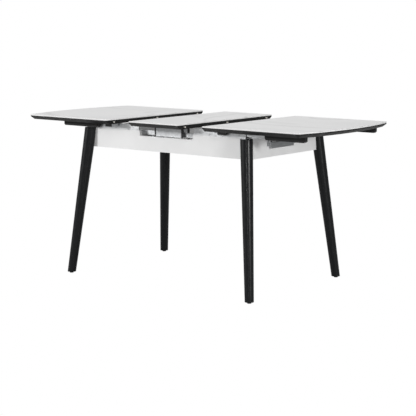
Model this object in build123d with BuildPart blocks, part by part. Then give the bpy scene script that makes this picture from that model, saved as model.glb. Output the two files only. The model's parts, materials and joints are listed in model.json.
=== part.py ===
"""Extendable dining table: two sliding half tops, a drop-in centre leaf and four splayed legs.

Millimetres, +Z up, +X along the table, floor at Z = 0.  The rest pose is fully open with the
leaf raised.  Sides: left is -X, right is +X, front is -Y, rear is +Y.
"""
from build123d import *
import math
import os

os.makedirs("parts", exist_ok=True)

# ---- driving dimensions -------------------------------------------------------------------
HEIGHT = 750.0
SLAB = 5.0
BOARD = 18.0
HALF_WIDTH = 358.0
HALF_LENGTH = 548.0
LEAF_HALF = 143.0
GAP = 138.0
END_BOW = 45.0
CORNER_RADIUS = 22.0
LIP = 5.0
BEVEL_INSET = 18.0
LEAF_DROP = 49.0

SIDES = (("left", -1), ("right", 1))
ROWS = (("front", -1), ("rear", 1))

APRON_TOP = 700.0
APRON_HEIGHT = 91.0
APRON_THICK = 18.0
FRAME_X = 469.0
FRAME_Y = 268.0

FOOT_X = 530.0
FOOT_Y = 346.0
LEG_SPLAY = 0.1033
LEG_TOP_RADIUS = 28.0
LEG_FOOT_RADIUS = 20.0
GLIDE_HEIGHT = 6.0
GLIDE_RADIUS = 9.0

RAIL_HEIGHT = 24.0
RUN_CLEARANCE = 0.3
SHEET = 2.0

# ---- levels and travels worked out from them ----------------------------------------------
SLAB_BOTTOM = HEIGHT - SLAB
UNDERSIDE = SLAB_BOTTOM - BOARD
INNER_X = LEAF_HALF + GAP
OUTER_X = INNER_X + HALF_LENGTH
CARRIAGE_TRAVEL = LEAF_HALF
APRON_BOTTOM = APRON_TOP - APRON_HEIGHT
APRON_IN_X = FRAME_X - APRON_THICK
APRON_IN_Y = FRAME_Y - APRON_THICK
NOTCH_X = LEAF_HALF + 14.0
NOTCH_Z = UNDERSIDE - LEAF_DROP - 1.5
RAIL_Z = APRON_TOP + 2.0
RAIL_TOP = RAIL_Z + RAIL_HEIGHT

# battens and blocks under the half tops, as distances from the centre with the table open
BATTEN_X = {"left": (400.0, 617.0), "right": (565.0, 770.0)}
BATTEN_Y = (FRAME_Y + 2.0, FRAME_Y + 22.0)
BATTEN_DEPTH = 24.0
BATTEN_CHAMFER = 6.0
BUMPER_X = (313.0, 352.0)
BUMPER_DEPTH = 17.0
CATCH_X = (284.0, 311.0)
CATCH_DEPTH = 15.0
BLOCK_Y = (BATTEN_Y[0] + 2.0, BATTEN_Y[1] - 2.0)

# one slide is three nested rails: fixed on the apron, middle on the carriage, top under the top;
# the middle and the top rail each reach into their neighbour with a tongue
FIXED_RAIL_X = (NOTCH_X + 5.0, APRON_IN_X - 2.0)
MIDDLE_RAIL_X = (300.0, 580.0)
TOP_RAIL_X = (430.0, 615.0)
FLANGE = 3.0
TONGUE_Z = (RAIL_Z + 5.0, RAIL_TOP - 5.0)
FIXED_WEB_Y = (FRAME_Y - 4.0, FRAME_Y)
MIDDLE_WEB_Y = (APRON_IN_Y - 4.0, APRON_IN_Y - RUN_CLEARANCE)
MIDDLE_TONGUE_END = FIXED_WEB_Y[0] - 2.0
TOP_BAR_Y = (APRON_IN_Y - 24.0, APRON_IN_Y - 12.0)
TOP_TONGUE_END = MIDDLE_WEB_Y[0] - 0.5

# alignment dowels
DOWEL_RADIUS = 3.0
DOWEL_HOLE = 3.6
DOWEL_OUT = 7.0
DOWEL_END_GAP = 3.0
DOWEL_Z = UNDERSIDE + 9.0
DOWEL_YS = (-310.0, 0.0, 310.0)

# ramp plate: its slot falls by LEAF_DROP over CARRIAGE_TRAVEL
FOLLOWER_X = 294.0
FOLLOWER_Z = 691.0
FOLLOWER_RADIUS = 5.0
FOLLOWER_STEM_RADIUS = 3.0
SLOT_RADIUS = FOLLOWER_RADIUS + RUN_CLEARANCE
RAMP_LENGTH = math.hypot(CARRIAGE_TRAVEL, LEAF_DROP)
RAMP_ANGLE = math.degrees(math.atan2(LEAF_DROP, CARRIAGE_TRAVEL))
PLATE_Y = (APRON_IN_Y - 11.0, APRON_IN_Y - 7.0)
PLATE_X = (287.5, 447.5)
TIE_TOP = 629.5
TIE_DEPTH = 15.5
TIE_X = (430.0, 446.0)
BEAM_Y = (PLATE_Y[0] - 10.0, PLATE_Y[0] - 4.0)
BEAM_DEPTH = 20.0
BEAM_END = 304.0
RISER_X = 78.0
PANEL_Y = (APRON_IN_Y - 4.5, APRON_IN_Y - 1.5)
PANEL_DEPTH = LEAF_DROP - 1.0

# leaf guides
POST_Y = 200.0
POST_RADIUS = 5.0
POST_BOTTOM = 655.0
SLEEVE_RADIUS = 9.0
SLEEVE_TOP = 672.0
CHANNEL_TOP = 627.0
CHANNEL_BOTTOM = 612.0
CHANNEL_X = (RISER_X - 15.0, RISER_X + 15.0)

# leg bolts and the corner brackets behind their heads
BRACKET_SHEET = 2.5
BRACKET_LEG = 40.0
BRACKET_Z = (625.0, 685.0)
BOLT_X = APRON_IN_X - 8.0
BOLT_ZS = (640.0, 670.0)
BOLT_RADIUS = 3.0
BOLT_HEAD_RADIUS = 5.5
BOLT_HEAD = 3.0
BOLT_SEAT_Y = APRON_IN_Y - BRACKET_SHEET
BOLT_TIP_Y = FRAME_Y + 16.0

# rack and pinion that keep the two halves in step
MODULE = 2.0
TEETH = 20
PITCH_RADIUS = MODULE * TEETH / 2
ADDENDUM = 1.6
DEDENDUM = 2.6
TOOTH_WIDTH = 2.5
TOOTH_ROOT_HALF = 1.9
TOOTH_TIP_HALF = 0.6
TOOTH_ROOTED = 1.0
SPARE_TEETH = 2
FLANK = math.tan(math.radians(20.0))
RACK_DEPTH = 8.0
RACK_BACK = 11.0
AXLE_RADIUS = 4.0
AXLE_CLEARANCE = 0.05
AXLE_TOP = TIE_TOP + 9.0
AXLE_CAP_RADIUS = 7.0
PINION_LIFT = 0.5
BRIDGE_HALF_Y = 40.0

# latch handle on the right end apron
HANDLE_HALF = 85.5
HANDLE_Y = -40.0
HANDLE_Z = 670.0
HANDLE_X = FRAME_X + 14.0
HANDLE_THICK = 8.0
HANDLE_ROUNDING = 2.0
HANDLE_RISE = 6.0
HANDLE_HANG = 22.0
PIN_RADIUS = 3.0
PIN_REACH = 10.5
EAR_GAP = 0.5
EAR_THICK = 12.0
EAR_HALF_HEIGHT = 12.0
EAR_DEPTH = 22.0
EAR_ROUNDING = 6.0


def save(piece, name):
    """Label a finished piece and write it as its own STEP file."""
    piece.part.label = name
    export_step(piece.part, f"parts/{name}.step")


def block(xs, ys, zs, mode=Mode.ADD):
    """A box between two corners, inside the current BuildPart."""
    centre = (sum(xs) / 2, sum(ys) / 2, sum(zs) / 2)
    with Locations(centre):
        Box(abs(xs[1] - xs[0]), abs(ys[1] - ys[0]), abs(zs[1] - zs[0]), mode=mode)


def span(sign, pair):
    """The interval pair, moved to the given side of the centre line."""
    return (sign * pair[0], sign * pair[1])


def rod(start, end, radius, mode=Mode.ADD):
    """A round bar between two points, inside the current BuildPart."""
    axis = Vector(*end) - Vector(*start)
    with BuildSketch(Plane(origin=start, z_dir=axis)) as section:
        Circle(radius)
    extrude(section.sketch, amount=axis.length, mode=mode)


# ---- tops ---------------------------------------------------------------------------------
def half_outline(sign):
    """Half-top outline: straight mating edge, straight sides, bowed outer end."""
    corner_x = OUTER_X - END_BOW
    with BuildLine() as edge:
        Line((sign * INNER_X, HALF_WIDTH), (sign * INNER_X, -HALF_WIDTH))
        Line((sign * INNER_X, -HALF_WIDTH), (sign * corner_x, -HALF_WIDTH))
        ThreePointArc((sign * corner_x, -HALF_WIDTH), (sign * OUTER_X, 0), (sign * corner_x, HALF_WIDTH))
        Line((sign * corner_x, HALF_WIDTH), (sign * INNER_X, HALF_WIDTH))
    make_face(edge.edges())


def bevel_underside(mating_xs):
    """Bevel the lower outer edges of the current board, but not its mating edges."""
    bottom = faces().sort_by(Axis.Z)[0]
    outer = [e for e in bottom.edges() if all(abs(e.center().X - x) > 1.0 for x in mating_xs)]
    chamfer(outer, length=BEVEL_INSET, length2=BOARD - LIP, reference=bottom)


def dowel_holes(x, direction):
    """Sockets for the alignment dowels in a mating edge at x, bored towards direction."""
    depth = DOWEL_OUT + DOWEL_END_GAP
    for y in DOWEL_YS:
        rod((x, y, DOWEL_Z), (x + direction * depth, y, DOWEL_Z), DOWEL_HOLE, Mode.SUBTRACT)


def dowel_sockets(x):
    """The blind holes that the glued ends of the dowels fill."""
    for y in DOWEL_YS:
        rod((x - DOWEL_OUT, y, DOWEL_Z), (x, y, DOWEL_Z), DOWEL_RADIUS, Mode.SUBTRACT)


def dowels(x):
    """Three dowels glued into an edge at x and standing out of it towards +X."""
    with BuildPart() as pins:
        for y in DOWEL_YS:
            rod((x - DOWEL_OUT, y, DOWEL_Z), (x + DOWEL_OUT, y, DOWEL_Z), DOWEL_RADIUS)
    return pins


def build_half(side, sign):
    with BuildPart() as slab:
        with BuildSketch(Plane.XY.offset(SLAB_BOTTOM)):
            half_outline(sign)
        extrude(amount=SLAB)
        corners = slab.edges().filter_by(Axis.Z).sort_by(Axis.X)
        fillet(corners[2:] if sign > 0 else corners[:2], CORNER_RADIUS)
    save(slab, f"{side}_top_slab")

    with BuildPart() as board:
        with BuildSketch(Plane.XY.offset(UNDERSIDE)):
            half_outline(sign)
        extrude(amount=BOARD)
        corners = board.edges().filter_by(Axis.Z).sort_by(Axis.X)
        fillet(corners[2:] if sign > 0 else corners[:2], CORNER_RADIUS)
        bevel_underside([sign * INNER_X])
        if sign < 0:
            dowel_sockets(-INNER_X)
        else:
            dowel_holes(INNER_X, 1)
    save(board, f"{side}_top_board")

    for row, ysign in ROWS:
        with BuildPart() as batten:
            block(span(sign, BATTEN_X[side]), span(ysign, BATTEN_Y), (UNDERSIDE - BATTEN_DEPTH, UNDERSIDE))
            chamfer(batten.faces().sort_by(Axis.Z)[0].edges().filter_by(Axis.Y), BATTEN_CHAMFER)
        save(batten, f"{side}_{row}_batten")
        with BuildPart() as rail:
            xs = span(sign, TOP_RAIL_X)
            block(xs, span(ysign, TOP_BAR_Y), (RAIL_Z, UNDERSIDE))
            block(xs, span(ysign, (TOP_BAR_Y[1], TOP_TONGUE_END)), TONGUE_Z)
        save(rail, f"{side}_{row}_top_rail")

    with BuildPart() as bumpers:
        for _, ysign in ROWS:
            block(span(sign, BUMPER_X), span(ysign, BLOCK_Y), (UNDERSIDE - BUMPER_DEPTH, UNDERSIDE))
    save(bumpers, f"{side}_bumpers")
    with BuildPart() as catches:
        for _, ysign in ROWS:
            block(span(sign, CATCH_X), span(ysign, BLOCK_Y), (UNDERSIDE - CATCH_DEPTH, UNDERSIDE))
    save(catches, f"{side}_catch_plates")


# ---- leaf ---------------------------------------------------------------------------------
def build_leaf():
    with BuildPart() as slab:
        block((-LEAF_HALF, LEAF_HALF), (-HALF_WIDTH, HALF_WIDTH), (SLAB_BOTTOM, HEIGHT))
    save(slab, "leaf_slab")

    with BuildPart() as board:
        block((-LEAF_HALF, LEAF_HALF), (-HALF_WIDTH, HALF_WIDTH), (UNDERSIDE, SLAB_BOTTOM))
        bevel_underside([-LEAF_HALF, LEAF_HALF])
        dowel_holes(-LEAF_HALF, 1)
        dowel_sockets(LEAF_HALF)
    save(board, "leaf_board")
    save(dowels(LEAF_HALF), "leaf_dowels")

    for row, ysign in ROWS:
        beam_y = span(ysign, BEAM_Y)
        with BuildPart() as beam:
            block((-BEAM_END, BEAM_END), beam_y, (FOLLOWER_Z - BEAM_DEPTH / 2, FOLLOWER_Z + BEAM_DEPTH / 2))
            block((-RISER_X, RISER_X), beam_y, (FOLLOWER_Z + BEAM_DEPTH / 2, UNDERSIDE))
            for sign in (-1, 1):
                rod((sign * FOLLOWER_X, ysign * BEAM_Y[0], FOLLOWER_Z),
                    (sign * FOLLOWER_X, ysign * BEAM_Y[1], FOLLOWER_Z), FOLLOWER_STEM_RADIUS, Mode.SUBTRACT)
        save(beam, f"leaf_{row}_beam")

    with BuildPart() as panels:
        for _, ysign in ROWS:
            block((-RISER_X, RISER_X), span(ysign, PANEL_Y), (UNDERSIDE - PANEL_DEPTH, UNDERSIDE))
    save(panels, "leaf_skirt_panels")

    with BuildPart() as posts:
        for sign in (-1, 1):
            for _, ysign in ROWS:
                x, y = sign * RISER_X, ysign * POST_Y
                rod((x, y, POST_BOTTOM), (x, y, UNDERSIDE), POST_RADIUS)
    save(posts, "leaf_guide_posts")

    with BuildPart() as followers:
        for sign in (-1, 1):
            for _, ysign in ROWS:
                x = sign * FOLLOWER_X
                inner, outer, tip = [(x, ysign * y, FOLLOWER_Z) for y in (*BEAM_Y, PLATE_Y[1])]
                rod(inner, outer, FOLLOWER_STEM_RADIUS)
                rod(outer, tip, FOLLOWER_RADIUS)
    save(followers, "leaf_followers")


# ---- carriages ----------------------------------------------------------------------------
def build_rack(side, sign):
    """Toothed bar from the tie to the pinion: right rack on +Y, left rack on -Y."""
    pitch = math.pi * MODULE
    first = -SPARE_TEETH
    last = int(CARRIAGE_TRAVEL / pitch) + SPARE_TEETH
    root = PITCH_RADIUS + DEDENDUM
    tip = PITCH_RADIUS - ADDENDUM
    root_half = TOOTH_WIDTH / 2 + DEDENDUM * FLANK
    tip_half = TOOTH_WIDTH / 2 - ADDENDUM * FLANK
    with BuildPart() as rack:
        bar_x = span(sign, (first * pitch, TIE_X[1]))
        bar_y = span(sign, (root, root + RACK_BACK))
        block(bar_x, bar_y, (TIE_TOP, TIE_TOP + RACK_DEPTH))
        for tooth in range(first, last):
            x = (tooth + 0.5) * pitch
            with BuildSketch(Plane.XY.offset(TIE_TOP)):
                with BuildLine():
                    Polyline(
                        (sign * (x - root_half), sign * root),
                        (sign * (x - tip_half), sign * tip),
                        (sign * (x + tip_half), sign * tip),
                        (sign * (x + root_half), sign * root),
                        close=True,
                    )
                make_face()
            extrude(amount=RACK_DEPTH)
    save(rack, f"{side}_rack")


def build_carriage(side, sign):
    for row, ysign in ROWS:
        with BuildPart() as rail:
            xs = span(sign, MIDDLE_RAIL_X)
            flange_y = span(ysign, (TOP_BAR_Y[1] + RUN_CLEARANCE, MIDDLE_WEB_Y[0]))
            block(xs, span(ysign, MIDDLE_WEB_Y), (RAIL_Z, RAIL_TOP))
            block(xs, flange_y, (RAIL_Z, RAIL_Z + FLANGE))
            block(xs, flange_y, (RAIL_TOP - FLANGE, RAIL_TOP))
            block(xs, span(ysign, (MIDDLE_WEB_Y[1], MIDDLE_TONGUE_END)), TONGUE_Z)
        save(rail, f"{side}_{row}_middle_rail")

        with BuildPart() as plate:
            block(span(sign, PLATE_X), span(ysign, PLATE_Y), (TIE_TOP, RAIL_Z))
            with BuildSketch(Plane.XZ):
                with Locations((sign * (FOLLOWER_X + CARRIAGE_TRAVEL / 2), FOLLOWER_Z - LEAF_DROP / 2)):
                    SlotCenterToCenter(RAMP_LENGTH, 2 * SLOT_RADIUS, rotation=-sign * RAMP_ANGLE)
            extrude(amount=HALF_WIDTH, both=True, mode=Mode.SUBTRACT)
        save(plate, f"{side}_{row}_ramp_plate")

    with BuildPart() as tie:
        block(span(sign, TIE_X), (-PLATE_Y[1], PLATE_Y[1]), (TIE_TOP - TIE_DEPTH, TIE_TOP))
    save(tie, f"{side}_tie_bar")
    build_rack(side, sign)


# ---- fixed frame --------------------------------------------------------------------------
def leg_bolts(sign, ysign, mode=Mode.ADD):
    """Two bolts through the long apron into one leg; heads only on the bolts themselves."""
    for z in BOLT_ZS:
        x = sign * BOLT_X
        seat = (x, ysign * BOLT_SEAT_Y, z)
        rod(seat, (x, ysign * BOLT_TIP_Y, z), BOLT_RADIUS, mode)
        if mode == Mode.ADD:
            rod((x, ysign * (BOLT_SEAT_Y - BOLT_HEAD), z), seat, BOLT_HEAD_RADIUS)


def build_aprons():
    for row, ysign in ROWS:
        with BuildPart() as apron:
            ys = span(ysign, (APRON_IN_Y, FRAME_Y))
            block((-APRON_IN_X, APRON_IN_X), ys, (APRON_BOTTOM, APRON_TOP))
            block((-NOTCH_X, NOTCH_X), ys, (NOTCH_Z, APRON_TOP), Mode.SUBTRACT)
            for sign in (-1, 1):
                leg_bolts(sign, ysign, Mode.SUBTRACT)
        save(apron, f"{row}_apron")
    for side, sign in SIDES:
        with BuildPart() as apron:
            block(span(sign, (APRON_IN_X, FRAME_X)), (-FRAME_Y, FRAME_Y), (APRON_BOTTOM, APRON_TOP))
        save(apron, f"{side}_end_apron")


def build_leg(side, sign, row, ysign):
    foot = (sign * (FOOT_X - LEG_SPLAY * GLIDE_HEIGHT), ysign * (FOOT_Y - LEG_SPLAY * GLIDE_HEIGHT))
    head = (sign * (FOOT_X - LEG_SPLAY * APRON_TOP), ysign * (FOOT_Y - LEG_SPLAY * APRON_TOP))
    with BuildPart() as leg:
        with BuildSketch(Plane.XY.offset(GLIDE_HEIGHT)):
            with Locations(foot):
                Circle(LEG_FOOT_RADIUS)
        with BuildSketch(Plane.XY.offset(APRON_TOP)):
            with Locations(head):
                Circle(LEG_TOP_RADIUS)
        loft()
        block(span(sign, (0, FRAME_X)), span(ysign, (0, FRAME_Y)), (APRON_BOTTOM, APRON_TOP), Mode.SUBTRACT)
        leg_bolts(sign, ysign, Mode.SUBTRACT)
    save(leg, f"{side}_{row}_leg")


def build_frame_hardware():
    with BuildPart() as glides:
        for _, sign in SIDES:
            for _, ysign in ROWS:
                x, y = sign * FOOT_X, ysign * FOOT_Y
                rod((x, y, 0), (x, y, GLIDE_HEIGHT), GLIDE_RADIUS)
    save(glides, "foot_glides")

    with BuildPart() as bolts:
        for _, sign in SIDES:
            for _, ysign in ROWS:
                leg_bolts(sign, ysign)
    save(bolts, "leg_bolts")

    with BuildPart() as brackets:
        for _, sign in SIDES:
            for _, ysign in ROWS:
                block(span(sign, (APRON_IN_X - BRACKET_LEG, APRON_IN_X)),
                      span(ysign, (BOLT_SEAT_Y, APRON_IN_Y)), BRACKET_Z)
                block(span(sign, (APRON_IN_X - BRACKET_SHEET, APRON_IN_X)),
                      span(ysign, (APRON_IN_Y - BRACKET_LEG, BOLT_SEAT_Y)), BRACKET_Z)
                leg_bolts(sign, ysign, Mode.SUBTRACT)
    save(brackets, "corner_brackets")

    for side, sign in SIDES:
        for row, ysign in ROWS:
            xs = span(sign, FIXED_RAIL_X)
            flange_y = span(ysign, (APRON_IN_Y, FIXED_WEB_Y[0]))
            with BuildPart() as rail:
                block(xs, span(ysign, FIXED_WEB_Y), (APRON_TOP, RAIL_TOP))
                block(xs, flange_y, (APRON_TOP, APRON_TOP + FLANGE))
                block(xs, flange_y, (RAIL_TOP - FLANGE, RAIL_TOP))
            save(rail, f"{side}_{row}_fixed_rail")

        with BuildPart() as channel:
            inner, outer = CHANNEL_X
            ys = (-APRON_IN_Y, APRON_IN_Y)
            block(span(sign, CHANNEL_X), ys, (CHANNEL_TOP - SHEET, CHANNEL_TOP))
            for flange_x in ((inner, inner + SHEET), (outer - SHEET, outer)):
                block(span(sign, flange_x), ys, (CHANNEL_BOTTOM, CHANNEL_TOP - SHEET))
            for _, ysign in ROWS:
                x, y = sign * RISER_X, ysign * POST_Y
                rod((x, y, CHANNEL_BOTTOM), (x, y, CHANNEL_TOP), POST_RADIUS + RUN_CLEARANCE, Mode.SUBTRACT)
        save(channel, f"{side}_cross_channel")

    with BuildPart() as sleeves:
        for _, sign in SIDES:
            for _, ysign in ROWS:
                x, y = sign * RISER_X, ysign * POST_Y
                rod((x, y, CHANNEL_TOP), (x, y, SLEEVE_TOP), SLEEVE_RADIUS)
                rod((x, y, CHANNEL_TOP), (x, y, SLEEVE_TOP), POST_RADIUS + RUN_CLEARANCE, Mode.SUBTRACT)
    save(sleeves, "guide_sleeves")


def build_pinion():
    """Sync pinion on its axle, on a bridge across the two channels."""
    bridge_top = CHANNEL_TOP + SHEET
    with BuildPart() as bridge:
        block((-CHANNEL_X[1], CHANNEL_X[1]), (-BRIDGE_HALF_Y, BRIDGE_HALF_Y), (CHANNEL_TOP, bridge_top))
    save(bridge, "pinion_bridge")

    with BuildPart() as axle:
        rod((0, 0, bridge_top), (0, 0, AXLE_TOP), AXLE_RADIUS)
        rod((0, 0, AXLE_TOP), (0, 0, AXLE_TOP + SHEET), AXLE_CAP_RADIUS)
    save(axle, "pinion_axle")

    root = PITCH_RADIUS - DEDENDUM
    tip = PITCH_RADIUS + ADDENDUM
    flank = [(root - TOOTH_ROOTED, TOOTH_ROOT_HALF), (PITCH_RADIUS, TOOTH_WIDTH / 2), (tip, TOOTH_TIP_HALF)]
    with BuildPart() as pinion:
        with BuildSketch(Plane.XY.offset(TIE_TOP + PINION_LIFT)):
            Circle(root)
            with PolarLocations(0, TEETH):
                Polygon(*flank, *[(x, -y) for x, y in reversed(flank)], align=None)
            Circle(AXLE_RADIUS + AXLE_CLEARANCE, mode=Mode.SUBTRACT)
        extrude(amount=RACK_DEPTH - PINION_LIFT)
    save(pinion, "sync_pinion")


def build_handle():
    """Pull handle between two ears; its bar hangs below a pivot pin at each end."""
    ear_in = HANDLE_HALF + EAR_GAP
    ear_out = ear_in + EAR_THICK
    ear_z = (HANDLE_Z - EAR_HALF_HEIGHT, HANDLE_Z + EAR_HALF_HEIGHT)
    with BuildPart() as brackets:
        for _, ysign in ROWS:
            ys = (HANDLE_Y + ysign * ear_in, HANDLE_Y + ysign * ear_out)
            block((FRAME_X, FRAME_X + EAR_DEPTH), ys, ear_z)
        fillet(brackets.edges().filter_by(Axis.Y).group_by(Axis.X)[-1], EAR_ROUNDING)
        rod((HANDLE_X, HANDLE_Y - ear_out, HANDLE_Z), (HANDLE_X, HANDLE_Y + ear_out, HANDLE_Z),
            PIN_RADIUS + RUN_CLEARANCE, Mode.SUBTRACT)
    save(brackets, "handle_brackets")

    with BuildPart() as handle:
        block((HANDLE_X - HANDLE_THICK / 2, HANDLE_X + HANDLE_THICK / 2),
              (HANDLE_Y - HANDLE_HALF, HANDLE_Y + HANDLE_HALF),
              (HANDLE_Z - HANDLE_HANG, HANDLE_Z + HANDLE_RISE))
        fillet(handle.edges().filter_by(Axis.Y), HANDLE_ROUNDING)
        for _, ysign in ROWS:
            rod((HANDLE_X, HANDLE_Y + ysign * HANDLE_HALF, HANDLE_Z),
                (HANDLE_X, HANDLE_Y + ysign * (HANDLE_HALF + PIN_REACH), HANDLE_Z), PIN_RADIUS)
    save(handle, "latch_handle")


for side_name, side_sign in SIDES:
    build_half(side_name, side_sign)
    build_carriage(side_name, side_sign)
    for row_name, row_sign in ROWS:
        build_leg(side_name, side_sign, row_name, row_sign)
save(dowels(-INNER_X), "left_top_dowels")
build_leaf()
build_aprons()
build_frame_hardware()
build_pinion()
build_handle()
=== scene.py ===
"""Extendable dining table around its CAD frame: materials, small hardware, light and camera.

Metres, in the frame's own axes: +X along the table, front is -Y, floor at Z = 0.
"""
import json
import math

import bmesh
import bpy
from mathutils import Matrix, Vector


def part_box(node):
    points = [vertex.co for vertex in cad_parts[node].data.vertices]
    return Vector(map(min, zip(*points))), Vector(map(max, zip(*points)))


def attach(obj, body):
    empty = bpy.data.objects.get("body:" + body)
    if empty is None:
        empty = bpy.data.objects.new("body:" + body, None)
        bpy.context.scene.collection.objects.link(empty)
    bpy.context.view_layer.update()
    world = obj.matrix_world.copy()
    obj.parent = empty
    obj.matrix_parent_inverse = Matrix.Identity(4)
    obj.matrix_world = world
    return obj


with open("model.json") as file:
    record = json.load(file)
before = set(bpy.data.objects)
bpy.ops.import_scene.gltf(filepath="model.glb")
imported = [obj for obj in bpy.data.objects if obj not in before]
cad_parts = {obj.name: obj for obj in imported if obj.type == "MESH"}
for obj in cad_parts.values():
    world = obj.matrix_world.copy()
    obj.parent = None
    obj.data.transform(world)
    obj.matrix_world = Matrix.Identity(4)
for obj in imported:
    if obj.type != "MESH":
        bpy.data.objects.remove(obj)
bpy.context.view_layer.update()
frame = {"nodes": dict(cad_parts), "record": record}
NODES = frame["nodes"]

# camera: eye point, heading in degrees from +Y towards -X, tilt in degrees, lens in millimetres
EYE = (3.669, -4.639, 1.246)
HEADING = 38.09
TILT = -8.88
LENS = 109.4
SENSOR_WIDTH = 36.0
CLIP_END = 100

# light: floor grey and world strength that the object sees, and the area lamps with
# their place, edge length and power in watts
FLOOR_CAST = 0.50
WORLD_CAST = 0.42
LAMPS = (
    ("key", (-3.0, -3.9, 2.0), 0.8, 128),
    ("side", (4.9, -1.4, 1.4), 0.5, 98),
    ("top", (0, 0.8, 4.0), 3.0, 66),
    ("front", (3.0, -5.0, 1.3), 0.4, 20),
)

LAMP_AIM = (0, 0, 0.5)
FLOOR_HALF = 30

# the small edge break on every CAD node
EDGE_BREAK = 0.0005
EDGE_SEGMENTS = 2
EDGE_ANGLE = math.radians(40)

# button-head screws: the profile runs from the rim to the socket floor, as shares of the
# radius and the height, and whether the ring is hexagonal
SCREW_SEGMENTS = 24
SCREW_HEIGHT = 0.0012
SCREW_RADIUS = 0.003
BATTEN_SCREW_RADIUS = 0.004
BRIDGE_SCREW_RADIUS = 0.0025
SCREW_PROFILE = (
    (1.00, 0.00, False), (1.00, 0.35, False), (0.82, 0.85, False),
    (0.60, 1.00, False), (0.52, 1.00, True), (0.50, 0.25, True),
)

# where the screws stand: shares of the length of a rail or batten, and insets from edges
RAIL_SHARES = (0.12, 0.5, 0.88)
BATTEN_SHARES = (0.15, 0.5, 0.85)
CHANNEL_INSET = 0.006
BRIDGE_INSET_X = 0.015
BRIDGE_INSET_Y = 0.003
HANDLE_INSET = 0.006
HANDLE_RISE = 0.012

# trims over the vertical edges of the leaf's skirt panels
TRIM_HALF_X = 0.0045
TRIM_HALF_Y = 0.0021
TRIM_CORNER = 0.0010
TRIM_CORNER_STEPS = 5
TRIM_TOP_GAP = 0.0005
PANEL_HALF_THICKNESS = 0.0015


# ---- material helpers ---------------------------------------------------------------------
class Shader:
    """A Principled material with object-space coordinates and short helpers for its nodes."""

    def __init__(self, name, color, roughness, metallic=0.0):
        self.material = bpy.data.materials.new(name)
        self.material.use_nodes = True
        self.tree = self.material.node_tree
        self.bsdf = self.tree.nodes["Principled BSDF"]
        self.bsdf.inputs["Base Color"].default_value = (*color, 1.0)
        self.bsdf.inputs["Roughness"].default_value = roughness
        self.bsdf.inputs["Metallic"].default_value = metallic
        self.coords = self.tree.nodes.new("ShaderNodeTexCoord").outputs["Object"]

    def specular(self, level):
        self.bsdf.inputs["Specular IOR Level"].default_value = level

    def stretched(self, scale):
        """Object coordinates scaled per axis, so a pattern can run along one axis."""
        mapping = self.tree.nodes.new("ShaderNodeMapping")
        mapping.inputs["Scale"].default_value = scale
        self.tree.links.new(self.coords, mapping.inputs["Vector"])
        return mapping.outputs["Vector"]

    def noise(self, vector, scale, detail=4.0, distortion=0.0):
        node = self.tree.nodes.new("ShaderNodeTexNoise")
        node.inputs["Scale"].default_value = scale
        node.inputs["Detail"].default_value = detail
        node.inputs["Distortion"].default_value = distortion
        self.tree.links.new(vector, node.inputs["Vector"])
        return node.outputs["Fac"]

    def cells(self, vector, scale):
        node = self.tree.nodes.new("ShaderNodeTexVoronoi")
        node.inputs["Scale"].default_value = scale
        self.tree.links.new(vector, node.inputs["Vector"])
        return node.outputs["Color"]

    def ramp(self, value, stops, target):
        """Drive a shader socket from a value through (position, colour) stops, two or more."""
        node = self.tree.nodes.new("ShaderNodeValToRGB")
        elements = node.color_ramp.elements
        for index, (position, color) in enumerate(stops):
            element = elements[index] if index < 2 else elements.new(position)
            element.position = position
            element.color = (*color, 1.0)
        self.tree.links.new(value, node.inputs["Fac"])
        self.tree.links.new(node.outputs["Color"], self.bsdf.inputs[target])

    def bump(self, value, distance, strength):
        node = self.tree.nodes.new("ShaderNodeBump")
        node.inputs["Distance"].default_value = distance
        node.inputs["Strength"].default_value = strength
        self.tree.links.new(value, node.inputs["Height"])
        self.tree.links.new(node.outputs["Normal"], self.bsdf.inputs["Normal"])


def grey(level, tint=0.0):
    """A grey, turned towards blue by tint."""
    return (level - tint, level, level + tint)


def stone_slab():
    """Sintered stone: pale grey with faint warped veins and fine speckle."""
    s = Shader("stone_slab", grey(0.74), 0.30)
    cloud = s.noise(s.coords, 1.6, detail=2.0, distortion=0.6)
    vein = [(0.30, grey(0.76)), (0.478, grey(0.80)), (0.50, grey(0.70)), (0.522, grey(0.80))]
    s.ramp(cloud, vein, "Base Color")
    s.ramp(s.noise(s.coords, 60.0), [(0.3, grey(0.30)), (0.7, grey(0.38))], "Roughness")
    s.bump(s.noise(s.coords, 900.0, detail=2.0), distance=0.00002, strength=0.15)
    return s.material


def black_board():
    """Black lacquered board: slight sprayed texture, edges a little worn in gloss."""
    s = Shader("black_board", grey(0.018), 0.42)
    s.specular(0.25)
    s.ramp(s.noise(s.coords, 14.0), [(0.3, grey(0.006)), (0.7, grey(0.013))], "Base Color")
    s.ramp(s.noise(s.coords, 40.0), [(0.3, grey(0.34)), (0.7, grey(0.50))], "Roughness")
    s.bump(s.noise(s.coords, 1400.0, detail=2.0), distance=0.00006, strength=0.35)
    return s.material


def black_leg():
    """Black lacquered beech with open grain running down the leg."""
    s = Shader("black_leg", grey(0.012, 0.001), 0.36)
    s.specular(0.22)
    grain = s.noise(s.stretched((1.0, 1.0, 0.03)), 420.0, detail=6.0, distortion=0.4)
    s.ramp(grain, [(0.35, grey(0.004, 0.0005)), (0.65, grey(0.010, 0.001))], "Base Color")
    s.ramp(s.noise(s.coords, 30.0), [(0.3, grey(0.26)), (0.7, grey(0.36))], "Roughness")
    s.bump(grain, distance=0.00008, strength=0.25)
    return s.material


def white_apron():
    """White satin lacquer with faint orange peel."""
    s = Shader("white_apron", grey(0.80), 0.33)
    s.ramp(s.noise(s.coords, 6.0), [(0.3, grey(0.77)), (0.7, grey(0.82))], "Base Color")
    s.ramp(s.noise(s.coords, 25.0), [(0.3, grey(0.28)), (0.7, grey(0.40))], "Roughness")
    s.bump(s.noise(s.coords, 380.0, detail=2.0), distance=0.00008, strength=0.3)
    return s.material


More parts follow.
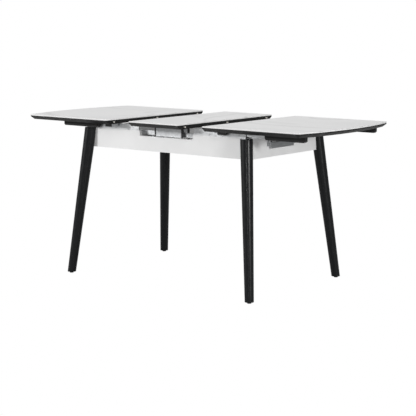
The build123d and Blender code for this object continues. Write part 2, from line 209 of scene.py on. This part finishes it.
def rail_aluminium():
    """Extruded aluminium: die lines along X."""
    s = Shader("rail_aluminium", grey(0.62, 0.01), 0.34, 1.0)
    lines = s.noise(s.stretched((0.02, 1.0, 1.0)), 900.0, detail=3.0)
    s.ramp(lines, [(0.3, grey(0.52, 0.01)), (0.7, grey(0.70, 0.01))], "Base Color")
    s.ramp(s.noise(s.coords, 50.0), [(0.3, grey(0.26)), (0.7, grey(0.44))], "Roughness")
    s.bump(lines, distance=0.00005, strength=0.4)
    return s.material


def zinc_steel():
    """Galvanised steel with faint spangle."""
    s = Shader("zinc_steel", grey(0.5), 0.4, 1.0)
    spangle = s.cells(s.coords, 110.0)
    s.ramp(spangle, [(0.2, grey(0.48, 0.01)), (0.8, grey(0.56, 0.01))], "Base Color")
    s.ramp(s.noise(s.coords, 45.0), [(0.3, grey(0.42)), (0.7, grey(0.54))], "Roughness")
    s.bump(s.noise(s.coords, 300.0), distance=0.00004, strength=0.3)
    return s.material


def black_steel():
    """Powder-coated steel."""
    s = Shader("black_steel", grey(0.02), 0.45)
    s.ramp(s.noise(s.coords, 35.0), [(0.3, grey(0.015)), (0.7, grey(0.028))], "Base Color")
    s.bump(s.noise(s.coords, 1100.0, detail=2.0), distance=0.0001, strength=0.5)
    return s.material


def black_plastic():
    """Moulded plastic with a spark-eroded grain."""
    s = Shader("black_plastic", grey(0.025), 0.55)
    s.ramp(s.noise(s.coords, 60.0), [(0.3, grey(0.020)), (0.7, grey(0.034))], "Base Color")
    s.bump(s.noise(s.coords, 1800.0, detail=3.0), distance=0.0001, strength=0.5)
    return s.material


def pale_dowel():
    """Moulded ivory plastic."""
    s = Shader("pale_dowel", (0.72, 0.70, 0.65), 0.4)
    s.ramp(s.noise(s.coords, 90.0), [(0.3, (0.66, 0.64, 0.58)), (0.7, (0.76, 0.74, 0.69))], "Base Color")
    s.bump(s.noise(s.coords, 700.0), distance=0.00005, strength=0.3)
    return s.material


def handle_grey():
    """Satin die-cast metal brushed along the bar."""
    s = Shader("handle_grey", grey(0.42, 0.01), 0.38, 1.0)
    lines = s.noise(s.stretched((1.0, 0.03, 1.0)), 800.0, detail=3.0)
    s.ramp(lines, [(0.3, grey(0.34, 0.01)), (0.7, grey(0.48, 0.01))], "Base Color")
    s.ramp(s.noise(s.coords, 40.0), [(0.3, grey(0.30)), (0.7, grey(0.46))], "Roughness")
    s.bump(lines, distance=0.00004, strength=0.4)
    return s.material


MAKERS = (stone_slab, black_board, black_leg, white_apron, rail_aluminium, zinc_steel,
          black_steel, black_plastic, pale_dowel, handle_grey)
MATERIALS = {maker.__name__: maker() for maker in MAKERS}


def dress_nodes():
    """Give every CAD node its detailed material and a small edge break that catches light."""
    for entry in frame["record"]["subparts"]:
        node = NODES[entry["node"]]
        node.data.materials.clear()
        node.data.materials.append(MATERIALS[entry["material_slot"]])
        edge = node.modifiers.new("edge_break", "BEVEL")
        edge.width = EDGE_BREAK
        edge.segments = EDGE_SEGMENTS
        edge.limit_method = "ANGLE"
        edge.angle_limit = EDGE_ANGLE


# ---- hardware -----------------------------------------------------------------------------
def add_piece(name, mesh, slot, body):
    """Turn a bmesh into a piece with its material, riding on its body."""
    bmesh.ops.recalc_face_normals(mesh, faces=mesh.faces)
    data = bpy.data.meshes.new(name)
    mesh.to_mesh(data)
    mesh.free()
    piece = bpy.data.objects.new(name, data)
    bpy.context.scene.collection.objects.link(piece)
    data.materials.append(MATERIALS[slot])
    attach(piece, body)
    return piece


def close_loops(mesh, loops):
    """Skin a stack of vertex loops and cap both ends."""
    for low, high in zip(loops, loops[1:]):
        for step in range(len(low)):
            after = (step + 1) % len(low)
            mesh.faces.new((low[step], low[after], high[after], high[step]))
    mesh.faces.new(loops[-1])
    mesh.faces.new(list(reversed(loops[0])))


def hexagon_reach(angle, size):
    """Distance from the centre to the side of a hexagon whose corner radius is size."""
    sector = math.radians(60)
    return size * math.cos(sector / 2) / math.cos((angle % sector) - sector / 2)


def screw_head(name, place, direction, body, radius=SCREW_RADIUS):
    """A low button-head screw with a hexagon socket, standing on a surface at place."""
    up = Vector(direction).normalized()
    side = up.orthogonal().normalized()
    other = up.cross(side)
    mesh = bmesh.new()
    loops = []
    for radius_share, height_share, hexagon in SCREW_PROFILE:
        size = radius * radius_share
        centre = Vector(place) + up * (SCREW_HEIGHT * height_share)
        loop = []
        for step in range(SCREW_SEGMENTS):
            angle = 2 * math.pi * step / SCREW_SEGMENTS
            reach = hexagon_reach(angle, size) if hexagon else size
            spoke = side * math.cos(angle) + other * math.sin(angle)
            loop.append(mesh.verts.new(centre + spoke * reach))
        loops.append(loop)
    close_loops(mesh, loops)
    return add_piece(name, mesh, "zinc_steel", body)


def edge_trim(name, x, y, zs, body):
    """A rubber trim with rounded corners, pushed over a plate's vertical edge."""
    mesh = bmesh.new()
    loops = []
    for z in zs:
        loop = []
        for quarter, (cx, cy) in enumerate(((1, 1), (-1, 1), (-1, -1), (1, -1))):
            for step in range(TRIM_CORNER_STEPS):
                angle = math.radians(90 * (quarter + step / (TRIM_CORNER_STEPS - 1)))
                px = x + cx * (TRIM_HALF_X - TRIM_CORNER) + TRIM_CORNER * math.cos(angle)
                py = y + cy * (TRIM_HALF_Y - TRIM_CORNER) + TRIM_CORNER * math.sin(angle)
                loop.append(mesh.verts.new((px, py, z)))
        loops.append(loop)
    close_loops(mesh, loops)
    return add_piece(name, mesh, "black_plastic", body)


def middle(low, high, axis):
    """Centre of a box along one axis."""
    return (low[axis] + high[axis]) / 2


def outer_y(low, high, ysign):
    """Y of a box's front (-1) or rear (1) face."""
    return high[1] if ysign > 0 else low[1]


def rail_screws(side, row, ysign):
    """Three screws through the fixed rail's outer face."""
    low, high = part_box(f"{side}_{row}_fixed_rail")
    for index, share in enumerate(RAIL_SHARES):
        place = (low[0] + share * (high[0] - low[0]), outer_y(low, high, ysign), middle(low, high, 2))
        screw_head(f"{side}_{row}_rail_screw_{index}", place, (0, ysign, 0), "frame")


def batten_screws(side, row):
    """Three screws up through the batten."""
    low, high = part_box(f"{side}_{row}_batten")
    for index, share in enumerate(BATTEN_SHARES):
        place = (low[0] + share * (high[0] - low[0]), middle(low, high, 1), low[2])
        screw_head(f"{side}_{row}_batten_screw_{index}", place, (0, 0, -1), f"{side}_top",
                   BATTEN_SCREW_RADIUS)


def catch_screw(side, row, ysign):
    """One screw in the catch plate's outer face."""
    low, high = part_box(f"{side}_catch_plates")
    place = (middle(low, high, 0), outer_y(low, high, ysign), middle(low, high, 2))
    screw_head(f"{side}_{row}_catch_screw", place, (0, ysign, 0), f"{side}_top")


def channel_screw(side, row, ysign):
    """One screw on top of the cross channel, near its end."""
    low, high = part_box(f"{side}_cross_channel")
    place = (middle(low, high, 0), ysign * (high[1] - CHANNEL_INSET), high[2])
    screw_head(f"{side}_{row}_channel_screw", place, (0, 0, 1), "frame")


def bridge_screw(side, row, sign, ysign):
    """One screw at a corner of the pinion bridge."""
    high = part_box("pinion_bridge")[1]
    place = (sign * (high[0] - BRIDGE_INSET_X), ysign * (high[1] - BRIDGE_INSET_Y), high[2])
    screw_head(f"{side}_{row}_bridge_screw", place, (0, 0, 1), "frame", BRIDGE_SCREW_RADIUS)


def panel_trim(side, row, sign, ysign):
    """One trim over an end of a skirt panel."""
    low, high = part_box("leaf_skirt_panels")
    edge_trim(f"leaf_{row}_trim_{side}", sign * high[0], ysign * (high[1] - PANEL_HALF_THICKNESS),
              (low[2], high[2] - TRIM_TOP_GAP), "leaf")


def handle_screws():
    """One screw in each handle bracket."""
    low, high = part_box("handle_brackets")
    for row, y in (("front", low[1] + HANDLE_INSET), ("rear", high[1] - HANDLE_INSET)):
        screw_head(f"handle_{row}_screw", (high[0], y, low[2] + HANDLE_RISE), (1, 0, 0), "frame")


def add_hardware():
    """Screw heads and edge trims, each placed by the box of the CAD node that it sits on."""
    for side, sign in (("left", -1), ("right", 1)):
        for row, ysign in (("front", -1), ("rear", 1)):
            rail_screws(side, row, ysign)
            batten_screws(side, row)
            catch_screw(side, row, ysign)
            channel_screw(side, row, ysign)
            bridge_screw(side, row, sign, ysign)
            panel_trim(side, row, sign, ysign)
    handle_screws()


# ---- stage --------------------------------------------------------------------------------
def camera_split(tree, seen, cast, output):
    """Show one shader to the camera and let another light the object."""
    path = tree.nodes.new("ShaderNodeLightPath")
    mix = tree.nodes.new("ShaderNodeMixShader")
    tree.links.new(path.outputs["Is Camera Ray"], mix.inputs[0])
    tree.links.new(cast, mix.inputs[1])
    tree.links.new(seen, mix.inputs[2])
    tree.links.new(mix.outputs[0], output)


def add_floor():
    """A floor that is white to the camera and grey as a light on the underside."""
    mesh = bmesh.new()
    bmesh.ops.create_grid(mesh, x_segments=1, y_segments=1, size=FLOOR_HALF)
    data = bpy.data.meshes.new("studio_floor")
    mesh.to_mesh(data)
    mesh.free()
    floor = bpy.data.objects.new("studio_floor", data)
    bpy.context.scene.collection.objects.link(floor)
    finish = Shader("studio_floor", grey(FLOOR_CAST), 0.9)
    glow = finish.tree.nodes.new("ShaderNodeEmission")
    glow.inputs["Strength"].default_value = 1.0
    output = finish.tree.nodes["Material Output"].inputs["Surface"]
    camera_split(finish.tree, glow.outputs[0], finish.bsdf.outputs[0], output)
    data.materials.append(finish.material)


def add_world():
    """White to the camera, dim as a light."""
    world = bpy.data.worlds.new("studio")
    world.use_nodes = True
    tree = world.node_tree
    dim = tree.nodes["Background"]
    dim.inputs["Color"].default_value = (1, 1, 1, 1)
    dim.inputs["Strength"].default_value = WORLD_CAST
    white = tree.nodes.new("ShaderNodeBackground")
    white.inputs["Color"].default_value = (1, 1, 1, 1)
    camera_split(tree, white.outputs[0], dim.outputs[0], tree.nodes["World Output"].inputs["Surface"])
    bpy.context.scene.world = world


def add_lamps():
    """Soft key from the front left, a side box, a large top box and a weak lamp near the camera."""
    for name, place, size, power in LAMPS:
        lamp = bpy.data.lights.new(name, "AREA")
        lamp.size = size
        lamp.energy = power
        light = bpy.data.objects.new(name, lamp)
        light.location = place
        light.rotation_euler = (Vector(LAMP_AIM) - Vector(place)).to_track_quat("-Z", "Y").to_euler()
        bpy.context.scene.collection.objects.link(light)


def add_camera():
    """The camera, seen through a plain tone curve."""
    lens = bpy.data.cameras.new("camera")
    lens.lens = LENS
    lens.sensor_width = SENSOR_WIDTH
    lens.clip_end = CLIP_END
    camera = bpy.data.objects.new("camera", lens)
    camera.location = EYE
    camera.rotation_euler = (math.radians(90 + TILT), 0, math.radians(HEADING))
    bpy.context.scene.collection.objects.link(camera)
    bpy.context.scene.camera = camera
    bpy.context.scene.view_settings.view_transform = "Standard"


dress_nodes()
add_hardware()
add_floor()
add_world()
add_lamps()
add_camera()
